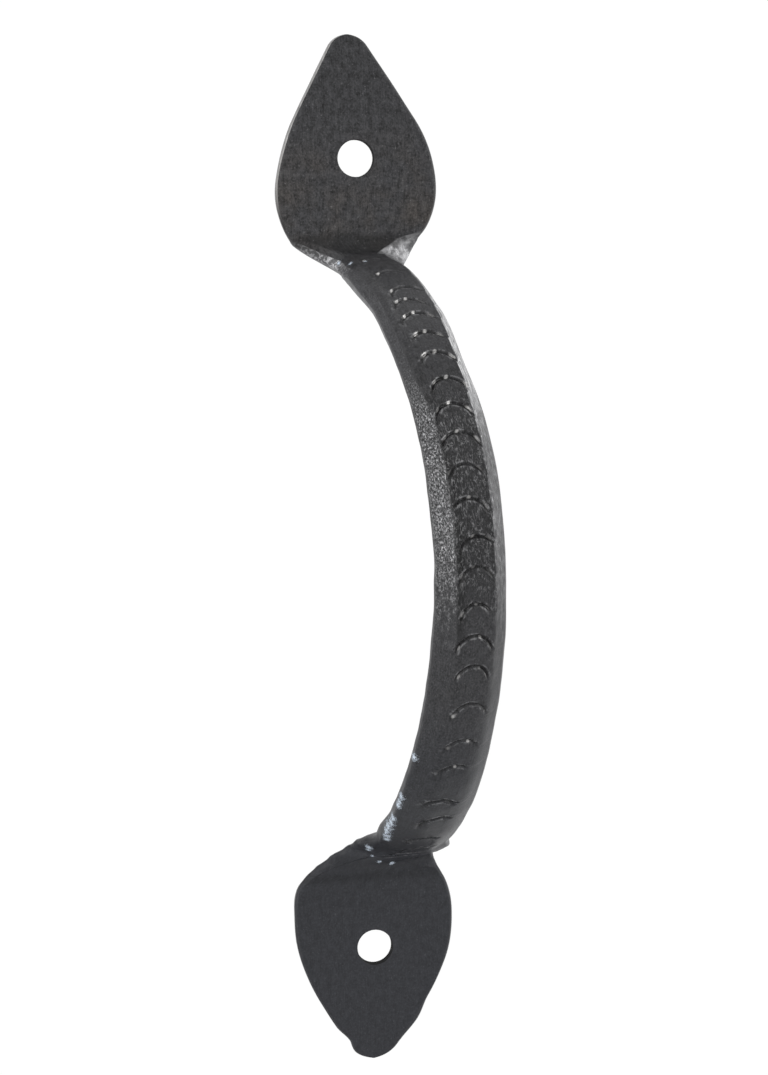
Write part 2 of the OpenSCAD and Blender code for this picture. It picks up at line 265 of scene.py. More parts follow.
# Pale patches: rubbed spots along the lower left edge, and at the roots partly painted highlights:
# run in mm, place round the section, and size in mm
SCUFFS_AND_HIGHLIGHTS = (
    (-37, 7.0, 2.3), (-49, 7.0, 2.3), (-50.7, 7.0, 2.0), (-52, 7.0, 2.2), (-57, 6.95, 2.6), (-59, 6.98, 2.6),
    (-60.8, 7.0, 3.0), (-62.4, 7.05, 2.6), (-64, 7.2, 2.2), (-65.4, 7.3, 1.8),
    (-74.7, 7.45, 2.1), (-76.0, 7.6, 1.5), (-78.6, 7.85, 0.9), (-80, 0.26, 1.3), (-81, 0.76, 1.5),
    (79.0, 7.62, 1.2), (75.8, 0.05, 1.3), (75.3, 0.28, 1.0),
)

# Places round the section in the flat sheet: one unit for each corner and the side after it
SIDES = 8
CORNER_SHARE = 0.16
FRONT, RIGHT_BEVEL, RIGHT_SIDE, RIGHT_CHAMFER, BACK, LEFT_CHAMFER, LEFT_SIDE, LEFT_BEVEL = range(SIDES)
SIDE_STEPS = (30, 8, 3, 2, 12, 2, 3, 8)
CORNER_STEPS = 3
TIP_STEPS = 16
LEAF_ROW = 0.5 * MM
BAR_ROW = 0.3 * MM
# Rounding of the section's corners: on the bow, in the order of the sides that they lead to, where
# the face's edges are worn round, on the leaves and at the roots
CORNER_R = [r * MM for r in (0.3, 0.25, 0.4, 0.5, 0.5, 0.5, 0.5, 0.45)]
WORN_R = 1.8 * MM
LEAF_R = 0.25 * MM
ROOT_R = 1.4 * MM

# The studio's white paper: its glow and that glow's share of what is seen, and the room's light on
# the pull
PAPER_GLOW = 1.05
PAPER_SHARE = 0.92
ROOM_LIGHT = 0.4
# The lamps: name, place and size in metres, and power in watts
LAMPS = (
    ("left_softbox", (-0.75, -0.35, 0.15), (0.22, 0.9), 3.6),
    ("right_softbox", (0.70, -0.25, 0.20), (0.22, 0.9), 3.6),
    ("front_softbox", (-0.25, -0.85, 0.35), (0.35, 0.25), 2.0),
    ("high_lamp", (-0.12, 0.10, 0.87), (0.07, 0.07), 0.8),
)


def ease(x):
    x = min(max(x, 0.0), 1.0)
    return x * x * (3 - 2 * x)


def mix(a, b, x):
    return a + (b - a) * x


def within(x, low, high, rise, fall):
    """1 between low and high, with a soft rise after low and a soft fall before high"""
    return ease((x - low) / rise) * ease((high - x) / fall)


def wobble(place, size, seed):
    """Smooth unevenness from -1 to 1 along a length, with bumps of about the given size"""
    return noise.noise(Vector((place / size, seed, 0.5)))


class ForgedBar:
    """The bar as a surface: how far along its front, and how far round its section"""

    def __init__(self, sizes, hand):
        self.sizes = sizes
        self.hand = hand
        self.upper = End(*[getattr(sizes, "upper_" + name) for name in End._fields])
        self.lower = End(*[getattr(sizes, "lower_" + name) for name in End._fields])
        self.root_z = sizes.bow_span / 2
        reach = sizes.bow_rise - sizes.plate_t
        joined_r = (self.root_z ** 2 + reach ** 2) / (2 * reach)
        self.bow_r = joined_r - sizes.root_r
        self.bow_end = asin(self.root_z / joined_r)
        self.bow_run = self.bow_r * self.bow_end
        self.leaf_run = self.bow_run + sizes.root_r * self.bow_end
        self.bend = self.leaf_run - self.bow_run
        self.hole_r = sizes.hole_d / 2
        self.hole_z = self.root_z + sizes.hole_from_root
        self.stations = {}
        self.marks = [
            Mark(run * MM, across * MM, radians(tilt), radians(sweep), radius * MM, hand.depth * share, shine)
            for run, across, tilt, sweep, radius, share, *shine in STRUCK]

    def end_of(self, run):
        """The end of the bar that a run lies toward: its way along Z, its sizes and its root"""
        return (1, self.upper, UPPER_ROOT) if run > 0 else (-1, self.lower, LOWER_ROOT)

    def half_width(self, end, along):
        """Half the width of an end's leaf at a distance from its root crease"""
        half = end.leaf_w / 2
        if along < end.belly:
            shoulder_r = self.sizes.shoulder_r
            return half - shoulder_r + sqrt(shoulder_r ** 2 - (end.belly - along) ** 2)
        rise = end.leaf_len - end.tip_r - end.belly
        across = end.side_r - half
        flank = pi / 2 - atan2(across, rise) - acos((end.side_r - end.tip_r) / hypot(rise, across))
        side_end = end.belly + end.side_r * sin(flank)
        tip_start = end.leaf_len - end.tip_r * (1 - sin(flank))
        if along < side_end:
            return half - end.side_r + sqrt(end.side_r ** 2 - (along - end.belly) ** 2)
        if along > tip_start:
            return sqrt(max(end.tip_r ** 2 - (along - end.leaf_len + end.tip_r) ** 2, 0))
        side_half = half - end.side_r * (1 - cos(flank))
        return mix(side_half, end.tip_r * cos(flank), (along - side_end) / (tip_start - side_end))

    def drift(self, end, along):
        """How far the middle of an end's leaf lies to one side"""
        if along < end.belly:
            return end.root_drift * (1 - along / end.belly) ** 2
        return end.tip_drift * ((along - end.belly) / (end.leaf_len - end.belly)) ** 2

    def lean_at(self, height):
        start = self.sizes.plate_t + self.sizes.root_r / 6
        return self.sizes.bow_lean * ease((height - start) / (self.sizes.lean_height - start))

    def shift_at(self, level):
        """How far the bow lies to one side at a level"""
        k = level / (self.bow_r * sin(self.bow_end))
        between_feet = mix(self.lower.foot_shift, self.upper.foot_shift, (1 + k) / 2)
        return between_feet + self.sizes.bow_sway * sin(pi * k) - self.sizes.bow_tuck * sin(pi * k * k)

    def leaf_section(self, half):
        chamfer = min(self.sizes.edge_chamfer, half / 2)
        wall = min(self.sizes.wall_chamfer, half / 2)
        face = half - chamfer
        return Section(half, half, face, face, chamfer, self.sizes.plate_t, wall, wall, chamfer)

    def bar_section(self, q):
        """Section of the bar at q, which goes from -1 at the lower root to 1 at the upper one"""
        sizes = self.sizes
        end = self.end_of(q)[1]
        far = abs(q)
        if q > 0:
            half = mix(sizes.bar_w, end.root_w, far) / 2
            away = 0
        else:
            half = (mix(sizes.bar_w, end.root_w, far ** 2.5) + sizes.lower_swell * sin(pi * far) ** 2) / 2
            away = ease((far - AWAY_START) / AWAY_REACH)
        face = mix(sizes.face_w, end.face_w, far) / 2
        thick = mix(sizes.bar_t, end.root_t, far ** 2)
        bevel = mix(sizes.bevel_d, sizes.root_bevel_d, far ** 5)
        chamfer = mix(sizes.back_chamfer, sizes.root_back_chamfer, far ** 5)
        return Section(half, half, face, face, bevel, thick, chamfer,
                       chamfer + AWAY_ACROSS * MM * away, bevel + LEFT_SLOPE * MM * away)

    def on_bow(self, run):
        """Turn, height, level, shift aside, section and share of leaf on the bow's arc"""
        turn = run / self.bow_r
        height = self.sizes.bow_rise - self.bow_r * (1 - cos(turn))
        level = self.bow_r * sin(turn)
        return turn, height, level, self.shift_at(level), self.bar_section(turn / self.bow_end), 0

    def in_bend(self, run):
        """The same in the bend between bow and leaf"""
        way, end, root = self.end_of(run)
        sizes = self.sizes
        a = max(self.bow_end - (abs(run) - self.bow_run) / sizes.root_r, 0)
        raised = sin(a) / sin(self.bow_end)
        deep = (a / self.bow_end) ** 2
        height = sizes.plate_t + sizes.root_r * (1 - cos(a))
        level = way * (self.root_z - sizes.root_r * sin(a))
        foot = self.shift_at(way * self.bow_r * sin(self.bow_end))
        shift = mix(self.drift(end, 0), foot, raised ** 2.2)
        narrow = raised ** 0.7
        shares = (raised ** root.left_flare, raised ** root.right_flare, narrow, narrow) + (deep,) * 5
        blended = zip(self.leaf_section(self.half_width(end, 0)), self.bar_section(way), shares)
        section = Section(*[mix(flat, bar, share) for flat, bar, share in blended])
        section = section._replace(thick=min(section.thick, height / cos(a)))
        return way * a, height, level, shift, section, 1 - deep

    def on_leaf(self, run):
        """The same on the flat leaf"""
        way, end, _ = self.end_of(run)
        along = abs(run) - self.leaf_run
        section = self.leaf_section(max(self.half_width(end, along), 0.2 * MM))
        return 0, self.sizes.plate_t, way * (self.root_z + along), self.drift(end, along), section, 1

    def station(self, run):
        """Front middle, sideways, inward, section and share of leaf at a run from mid length"""
        if run not in self.stations:
            self.stations[run] = self.new_station(run)
        return self.stations[run]

    def new_station(self, run):
        far = abs(run)
        part = self.on_bow if far <= self.bow_run else self.in_bend if far <= self.leaf_run else self.on_leaf
        turn, height, level, shift, section, leafy = part(run)
        lean = self.lean_at(height)
        outward = Vector((sin(lean), -cos(lean), 0))
        sideways = Vector((cos(lean), sin(lean), 0))
        inward = -cos(turn) * outward - sin(turn) * Vector((0, 0, 1))
        front = height * outward + Vector((shift, 0, level))
        return Station(front, sideways, inward, self.forged(section, run, leafy), leafy)

    def webbing(self, run, left=False):
        """How much of a root's web lies at a run: 0 far from the roots, 1 in their bends"""
        past = self.leaf_run - abs(run)
        if left and run > 0:
            past -= LEFT_WEB_LATER
        return within(past, WEB_START, self.bend + WEB_FADE, WEB_GROW, WEB_FADE)

    def forged(self, section, run, leafy):
        """The section with the hand's unevenness, its bulges and the webs beside the roots"""
        hand = self.hand
        left, right, face_left, face_right, bevel, thick, chamfer, left_across, left_bevel = section
        past = self.leaf_run - abs(run)
        root = self.end_of(run)[2]
        if -4 * MM < past < self.bend:
            left_part = ease((past / MM + root.left_start) / 2.5)
            right_part = ease((past / MM + root.right_start) / root.right_grow)
            face_left = min(face_left, left - root.left_web * MM * left_part)
            face_right = min(face_right, right - root.right_web * MM * right_part)
        deepest = DEEPEST_BEVEL * thick - 0.2 * MM
        bevel = min(bevel + root.web_depth * MM * self.webbing(run), deepest)
        left_bevel = min(left_bevel + root.web_depth * MM * self.webbing(run, True), deepest)
        wave = hand.wave * min(left / OUTLINE_BUMP, right / OUTLINE_BUMP, 1)
        left += wave * wobble(run, OUTLINE_BUMP, 31)
        right += wave * wobble(run, OUTLINE_BUMP, 57)
        for bulge in BULGES:
            share = ease(1 - abs(run / MM - bulge.run) / bulge.reach)
            left += bulge.left * MM * share
            right += bulge.right * MM * share
            face_left += bulge.left * MM * share * leafy
            face_right += bulge.face * MM * share
        fine = 0.5 * hand.wave * (1 - leafy)
        face_left += fine * wobble(run, EDGE_BUMP, 77)
        face_right += fine * wobble(run, EDGE_BUMP, 91)
        for mark in self.marks:
            below = mark.run - mark.radius * (1 - cos(mark.sweep - mark.tilt)) - run
            if 0 < below < NIBBLE_LEN:
                face_right -= hand.nibble * min(mark.depth / hand.depth, 1) * (1 - below / NIBBLE_LEN)
        face_left = min(face_left, left - 0.1 * MM)
        face_right = min(face_right, right - 0.1 * MM)
        return Section(left, right, face_left, face_right, bevel, thick, chamfer, left_across, left_bevel)

    def outline(self, section, run, leafy):
        """Corners of the section and how far each is rounded"""
        left, right, face_left, face_right, bevel, thick, chamfer, left_across, left_bevel = section
        left_side = max(thick - chamfer, left_bevel + 0.15 * MM)
        corners = [(-face_left, 0), (face_right, 0), (right, bevel), (right, thick - chamfer),
                   (right - chamfer, thick), (left_across - left, thick), (-left, left_side),
                   (-left, left_bevel)]
        # The face's edges are worn round below mid length, and the left one above it too
        worn = ease((-8 - run / MM) / 26)
        radii = list(CORNER_R)
        radii[FRONT] = mix(radii[FRONT], WORN_R, max(worn, ease((run / MM - 30) / 14)))
        radii[RIGHT_BEVEL] = mix(radii[RIGHT_BEVEL], WORN_R, worn)
        soft = self.webbing(run) * (1 if run > 0 else 0.5)
        rounding = []
        for k, radius in enumerate(radii):
            before = dist(corners[k], corners[k - 1])
            after = dist(corners[k], corners[(k + 1) % SIDES])
            radius = mix(radius, LEAF_R, leafy)
            if k in (LEFT_BEVEL, FRONT, RIGHT_BEVEL, RIGHT_SIDE):
                radius = mix(radius, ROOT_R, soft)
            rounding.append(min(radius, 0.45 * before, 0.45 * after))
        return corners, rounding

    def on_outline(self, corners, rounding, around):
        """Point of the outline and its outward normal, for a place round the section"""
        k = int(around) % SIDES
        part = around - int(around)
        here = Vector(corners[k])
        back = Vector(corners[k - 1])
        ahead = Vector(corners[(k + 1) % SIDES])
        if part < CORNER_SHARE:
            x = part / CORNER_SHARE
            first = here + (back - here).normalized() * rounding[k]
            last = here + (ahead - here).normalized() * rounding[k]
            point = first * (1 - x) ** 2 + here * 2 * x * (1 - x) + last * x * x
            along = (here - first) * (1 - x) + (last - here) * x
        else:
            x = (part - CORNER_SHARE) / (1 - CORNER_SHARE)
            first = here + (ahead - here).normalized() * rounding[k]
            last = ahead + (here - ahead).normalized() * rounding[(k + 1) % SIDES]
            point = first.lerp(last, x)
            along = ahead - here
        along.normalize()
        return point, Vector((along.y, -along.x))

    def groove(self, run, across):
        """Depth that the chisel leaves at a place on the front, and shares of groove, lip and painted glint
        """
        hand = self.hand
        depth = inside = lifted = painted_highlight = 0.0
        for mark in self.marks:
            up = run - mark.run + mark.radius
            if abs(up) > 2 * mark.radius:
                continue
            side = across - mark.across
            turn = atan2(side, up) + mark.tilt
            uneven = noise.noise(Vector((turn * 2.2, mark.run * 700, 0)))
            q = hypot(side, up) - mark.radius * (1 + ARC_UNEVEN * uneven)
            sweep = mark.sweep + (LEFT_EXTRA if turn < 0 else 0)
            fade = ease((sweep + FADE_PAST - abs(turn)) / FADE)
            if fade == 0 or q > 3 * hand.outer_wall:
                continue
            bite = mark.depth * (1 + BITE_UNEVEN * noise.noise(Vector((turn * 3.5, mark.run * 900, 4))))
            share = mark.depth / hand.depth
            # The lowest marks were struck slanting, which left broad walls
            broad = ease((LOWEST_MARKS - mark.run) / (8 * MM))
            bite *= 1 + 0.25 * broad
            wall = mix(hand.outer_wall, BROAD_WALL, broad) if q > 0 else hand.inner_wall
            cut = ease(1 - abs(q) / wall) * fade
            depth = max(depth, bite * cut)
            inside = max(inside, cut * min(share, 1))
            if q < 0:
                dished = max(1 + q / hand.dish, 0) ** 2 * fade
                depth = max(depth, hand.dish_depth * dished * share)
            edge = (abs(q) - wall) / LIP_W
            lifted = max(lifted, ease(1 - abs(edge)) * fade * min(share, 1))
            below = ease((10 * MM - mark.run) / (25 * MM))
            # Painted glints: spots of bare metal laid on the rim where the marks catch the lamps
            for (high, low, reach, half), strength in zip(GLINT_SPOTS, mark.shine):
                along = (turn - mix(high, low, below) * mark.sweep) * mark.radius / (reach * MM)
                off = (q - mix(0.17, -0.35, below) * MM) / (half * MM)
                painted_highlight = max(painted_highlight, ease(1.6 - 1.6 * hypot(along, off)) * strength)
        return depth - hand.lip * lifted, inside * (1 - painted_highlight), lifted, painted_highlight

    def forged_relief(self, side, run, spot, leafy):
        """How far the hammer has pushed the surface in, apart from the chisel marks"""
        hand = self.hand
        place = spot / MM
        relief = noise.noise(place / 7.0) * hand.wave * 0.5
        if side == LEFT_SIDE and leafy < 1:
            relief += hand.peen * 0.7 * noise.noise(place / 3.0) * (1 - leafy)
        elif side == LEFT_BEVEL and leafy < 1:
            peened = within(run / MM, -24, 36, 10, 10)
            dents = noise.voronoi(place)[0][0]
            relief += hand.peen * mix(0.25, 1, peened) * (0.9 * dents - 0.4) * (1 - leafy)
            relief += hand.peen * 0.7 * noise.noise(place / 3.0) * (1 - leafy)
        elif side in (RIGHT_BEVEL, RIGHT_SIDE) and leafy < 1:
            relief += hand.peen * 0.5 * noise.noise(place / 3.5) * (1 - leafy)
        elif side == FRONT and leafy < 1:
            relief += 0.3 * hand.peen * noise.noise(place / 1.6) * (1 - leafy)
        return relief

    def shaded(self, side, from_left, run):
        """How much painted shade darkens a place: in the upper crease, in the lower root's pocket and on its
        left side, and along the left of the face
        """
        past = (self.leaf_run - abs(run)) / MM
        band = 0.8 * within(run / MM, -14, 30, 8, 8) * ease(1.4 - from_left / (1.3 * MM))
        if side == FRONT and band > 0:
            return band
        if run > 0:
            crease = within(past, -1.8, 5, 2, 3)
            return 0.85 * crease * ease(from_left / (2 * MM)) if side == FRONT else 0
        if side in (LEFT_CHAMFER, LEFT_SIDE):
            return 0.4 * within(past, -6, 20, 4, 6)
        pocket = max(1 - hypot((past - 1.2) / 4, (from_left + 1) / 4), 0)
        return 0.6 * ease(pocket * 1.5)

    def place(self, around, run):
        """Where a point of the flat sheet goes on the forged bar, with what its finish needs"""
        front, sideways, inward, section, leafy = self.station(run)
        corners, rounding = self.outline(section, run, leafy)
        point, normal = self.on_outline(corners, rounding, around)
        side = int(around) % SIDES
        part = around - int(around)
        spot = front + point.x * sideways + point.y * inward
        push = inside = lifted = painted_highlight = 0.0
        if side == FRONT or (side == RIGHT_BEVEL and part < 0.3) or (side == LEFT_BEVEL and part > 0.8):
            if abs(run) < self.bow_run + 2 * MM:
                push, inside, lifted, painted_highlight = self.groove(run, point.x)
                off_face = max(point.x - section.face_right, -point.x - section.face_left, 0) / (0.7 * MM)
                push *= max(1 - off_face, 0)
        if side != BACK or leafy < 1:
            push += self.forged_relief(side, run, spot, leafy)
        outward = normal.x * sideways + normal.y * inward
        placed = spot - push * outward
        placed.x = min(max(placed.x, CAD_BOX[0][0]), CAD_BOX[1][0])
        placed.y = min(placed.y, 0)
        return placed, point, inside, lifted, painted_highlight, leafy


def sheet_columns():
    """Places round the section of the flat sheet's columns"""
    columns = []
    for k, steps in enumerate(SIDE_STEPS):
        columns += [k + CORNER_SHARE * i / CORNER_STEPS for i in range(CORNER_STEPS)]
        columns += [k + mix(CORNER_SHARE, 1, i / steps) for i in range(steps)]
    return columns + [SIDES]


def sheet_rows(bar):
    """Runs of the flat sheet's rows, from the lower tip to the upper one"""
    rows = []
    for end, way in ((bar.lower, -1), (bar.upper, 1)):
        tip_bottom = end.leaf_len - end.tip_r
        turns = [radians(86) * i / TIP_STEPS for i in range(1, TIP_STEPS + 1)]
        tip = [tip_bottom + end.tip_r * sin(turn) for turn in turns]
        steps = round(tip_bottom / LEAF_ROW)
        plate = [tip_bottom * i / steps for i in range(1, steps + 1)]
        rows += [way * (bar.leaf_run + along) for along in plate + tip]
    steps = round(2 * bar.leaf_run / BAR_ROW)
    rows += [mix(-bar.leaf_run, bar.leaf_run, i / steps) for i in range(steps + 1)]
    return sorted(rows)


def soften_roots(sheet, rooted, web, crinkle):
    """Smooths the lower root as hammering does, and lays the webs in small folds"""
    rounds = 100
    low = [vert for vert in sheet.verts if vert[rooted] > 0]
    for turn in range(rounds):
        low = [vert for vert in low if vert[rooted] > turn / rounds]
        bmesh.ops.smooth_vert(sheet, verts=low, factor=0.5, use_axis_x=True, use_axis_y=True, use_axis_z=True)
    sheet.normal_update()
    for vert in [vert for vert in sheet.verts if vert[web] > 0]:
        place = vert.co / MM
        folds = noise.noise(place / 1.7) + 0.5 * noise.noise(place / 0.8)
        vert.co += vert.normal * crinkle * vert[web] * folds
        vert.co.y = min(vert.co.y, 0)


def near_groove(bar, around, run):
    """Whether a face of the flat sheet lies in or beside a chisel groove"""
    if not 0 < around < 1.2 or abs(run) > bar.bow_run + 2 * MM:
        return False
    station = bar.station(run)
    across = bar.on_outline(*bar.outline(station.section, run, station.leafy), around)[0].x
    for mark in bar.marks:
        up = run - mark.run + mark.radius
        side = across - mark.across
        off = abs(hypot(side, up) - mark.radius)
        if off < NEAR_GROOVE and abs(atan2(side, up) + mark.tilt) < mark.sweep + 0.2:
            return True
    return False


def flat_sheet(bar):
    """The flat sheet, finer round the grooves: X goes round the section and Y along the bar"""
    columns = sheet_columns()
    rows = sheet_rows(bar)
    sheet = bmesh.new()
    bmesh.ops.create_grid(sheet, x_segments=len(columns) - 1, y_segments=len(rows) - 1, size=0.5)
    for vert in sheet.verts:
        column = round((vert.co.x + 0.5) * (len(columns) - 1))
        row = round((vert.co.y + 0.5) * (len(rows) - 1))
        vert.co = (columns[column], rows[row], 0)
    fine = set()
    for face in sheet.faces:
        centre = face.calc_center_median()
        if near_groove(bar, centre.x, centre.y):
            fine.update(face.edges)
    fine = [edge for edge in sheet.edges if edge in fine]
    bmesh.ops.subdivide_edges(sheet, edges=fine, cuts=1, use_grid_fill=True)
    return sheet


def wrap(sheet, bar):
    """Wraps the flat sheet round the bar, and notes at each point what the finish needs there"""
    colours, numbers = sheet.verts.layers.float_color, sheet.verts.layers.float
    zone = colours.new("zone")
    work = colours.new("work")
    web = numbers.new("web")
    worn = numbers.new("worn")
    rooted = numbers.new("rooted")
    shaded = numbers.new("shaded")
    flat = {}
    for vert in sheet.verts:
        around, run = vert.co.x, vert.co.y
        spot, point, inside, lifted, painted_highlight, leafy = bar.place(around, run)
        side = int(around) % SIDES
        vert[work] = (inside, lifted, leafy, 1)
        # The painted glints on the marks' rims
        vert[worn] = painted_highlight
        on_left = side in (LEFT_BEVEL, LEFT_SIDE)
        vert[web] = bar.webbing(run, on_left) * (on_left or side in (RIGHT_BEVEL, RIGHT_SIDE))
        past = (bar.leaf_run - abs(run)) / MM
        reach = mix(8, 14, ease((1 - point.x / MM) / 3))
        vert[rooted] = within(past, -4, reach, 3, 5) * ease((4.5 - point.x / MM) / 5) * (run < 0)
        # Painted shade in the creases, in the lower root's pocket and on its left side
        vert[shaded] = bar.shaded(side, point.x + bar.station(run).section.face_left, run)
        # Edges rubbed bare: the right side's, and the left side's, fully so above 45 mm, which is partly a
        # painted sheen along the upper left edge
        edge = float(side in (RIGHT_SIDE, RIGHT_CHAMFER))
        if side in (LEFT_SIDE, LEFT_CHAMFER):
            edge = mix(0.25, 1, ease((run / MM - 45) / 10))
        vert[zone] = (float(side == LEFT_BEVEL), float(side == RIGHT_BEVEL), edge, around - int(around))
        depth = point.y if side in (RIGHT_BEVEL, RIGHT_SIDE, RIGHT_CHAMFER) else -point.y
        flat[vert] = ((point.x + (0 if side in (FRONT, BACK) else depth)) / MM, run / MM)
        vert.co = spot
    grain = sheet.loops.layers.uv.new("grain")
    for face in sheet.faces:
        for loop in face.loops:
            loop[grain].uv = flat[loop.vert]
    bmesh.ops.remove_doubles(sheet, verts=sheet.verts, dist=0.004 * MM)
    soften_roots(sheet, rooted, web, bar.hand.crinkle)


def forge_sheet(bar):
    """The forged bar as one closed skin"""
    sheet = flat_sheet(bar)
    wrap(sheet, bar)
    rim = [edge for edge in sheet.edges if edge.is_boundary]
    bmesh.ops.holes_fill(sheet, edges=rim, sides=0)
    bmesh.ops.recalc_face_normals(sheet, faces=sheet.faces)
    for face in sheet.faces:
        face.smooth = True
    return sheet


def punch_for_holes(bar):
    """Both screw holes as one cutter, with the slight flare that a punch leaves at the front"""
    r = bar.hole_r
    front = -bar.sizes.plate_t
    clear = 1 * MM
    flare = 0.1 * MM
    profile = [(0, clear), (r, clear), (r, front + flare), (r + flare, front),
               (r + flare + clear, front - clear), (0, front - clear)]
    cutter = bmesh.new()
    for level in (-bar.hole_z, bar.hole_z):
        start = [cutter.verts.new((x, y, level)) for x, y in profile]
        edges = [cutter.edges.new(pair) for pair in zip(start, start[1:])]
        bmesh.ops.spin(cutter, geom=start + edges, cent=(0, 0, level), axis=(0, 1, 0),
                       angle=2 * pi, steps=72, use_merge=True)
    bmesh.ops.remove_doubles(cutter, verts=cutter.verts, dist=0.001 * MM)
    bmesh.ops.recalc_face_normals(cutter, faces=cutter.faces)
    return cutter


def mend_holes(piece, bar):
    """Gives the punched holes sharp edges and the leaves' finish"""
    reach = bar.hole_r + 0.15 * MM
    punched = bmesh.new()
    punched.from_mesh(piece.data)
    colours, numbers = punched.verts.layers.float_color, punched.verts.layers.float
    near = {vert for vert in punched.verts if hypot(vert.co.x, abs(vert.co.z) - bar.hole_z) < reach}
    # Round the holes: the leaves' finish, without webs, painted glints or painted shade
    for vert in near:
        vert[colours["work"]] = (0, 0, 1, 1)
        vert[colours["zone"]] = (0, 0, 0, 0)
        for plain in ("web", "worn", "shaded"):
            vert[numbers[plain]] = 0
    for edge in punched.edges:
        if near.issuperset(edge.verts) and edge.calc_face_angle(0) > radians(25):
            edge.smooth = False
    punched.to_mesh(piece.data)
    punched.free()


def add_object(name, mesh_source):
    """A new object that stands at the origin, from a bmesh"""
    mesh = bpy.data.meshes.new(name)
    mesh_source.to_mesh(mesh)
    mesh_source.free()
    piece = bpy.data.objects.new(name, mesh)
    bpy.context.scene.collection.objects.link(piece)
    return piece


def punch(piece, cutter):
    """Cuts the cutter's shape out of a piece and removes the cutter"""
    tool = add_object("punch", cutter)
    cut = piece.modifiers.new("screw_holes", "BOOLEAN")
    cut.operation = "DIFFERENCE"
    cut.solver = "EXACT"
    cut.object = tool
    whole = piece.evaluated_get(bpy.context.evaluated_depsgraph_get())
    mesh = bpy.data.meshes.new_from_object(whole)
    piece.modifiers.clear()
    piece.data = mesh
    bpy.data.objects.remove(tool)


class Output:
    """What a node gives, so that a finish can be written as a formula"""

    def __init__(self, shader, socket):
        self.shader = shader
        self.socket = socket

    def __add__(self, other):
        return self.shader.math("ADD", self, other)

    def __sub__(self, other):
        return self.shader.math("SUBTRACT", self, other)

    def __rsub__(self, other):
        return self.shader.math("SUBTRACT", other, self)

    def __mul__(self, other):
        return self.shader.math("MULTIPLY", self, other)

    __radd__ = __add__
    __rmul__ = __mul__


class Shader:
    """A short way to write the nodes of a material or of the world"""

    def __init__(self, owner):
        self.owner = owner
        owner.use_nodes = True
        self.tree = owner.node_tree
        self.tree.nodes.clear()

    def node(self, kind, inputs=None, **settings):
        node = self.tree.nodes.new("ShaderNode" + kind)
        for key, value in settings.items():
            setattr(node, key, value)
        for key, value in (inputs or {}).items():
            self.feed(node.inputs[key], value)
        return node

    def feed(self, socket, value):
        if isinstance(value, Output):
            self.tree.links.new(value.socket, socket)
        elif hasattr(value, "__len__") and len(value) == 3 and socket.type == "RGBA":
            socket.default_value = (*value, 1)
        else:
            socket.default_value = value

    def give(self, kind, inputs=None, output=0, **settings):
        """What one output of a new node gives"""
        return Output(self, self.node(kind, inputs, **settings).outputs[output])

    def math(self, operation, a, b=0.0, clamp=False):
        return self.give("Math", {0: a, 1: b}, operation=operation, use_clamp=clamp)

    def most(self, first, *others):
        """The greatest of some values"""
        for other in others:
            first = self.math("MAXIMUM", first, other)
        return first

    def band(self, value, low, high, to_low=0.0, to_high=1.0):
        """A soft step from to_low to to_high, while the value goes from low to high"""
        return self.give("MapRange", {0: value, 1: low, 2: high, 3: to_low, 4: to_high},
                         interpolation_type="SMOOTHSTEP")

    def noise(self, place, scale, detail, roughness, distortion=0.0):
        return self.give("TexNoise", {"Vector": place, "Scale": scale, "Detail": detail,
                                      "Roughness": roughness, "Distortion": distortion})

    def blend(self, a, b, factor, way="MIX"):
        """Colour a, with colour b on it as far as the factor says"""
        return self.give("Mix", {"Factor": factor, 6: a, 7: b}, output=2, data_type="RGBA", blend_type=way)

    def read(self, name, output="Fac"):
        """What the piece's own attribute says"""
        return self.give("Attribute", output=output, attribute_name=name)

    def split(self, kind, whole):
        """A colour's or a vector's three parts"""
        return [Output(self, part) for part in self.node("Separate" + kind, {0: whole}).outputs]

    def seen(self):
        """1 for what the camera sees, straight, mirrored or through glass, and 0 for what only lights"""
        rays = ("Is Camera Ray", "Is Glossy Ray", "Is Transmission Ray")
        return self.most(*[self.give("LightPath", output=ray) for ray in rays])


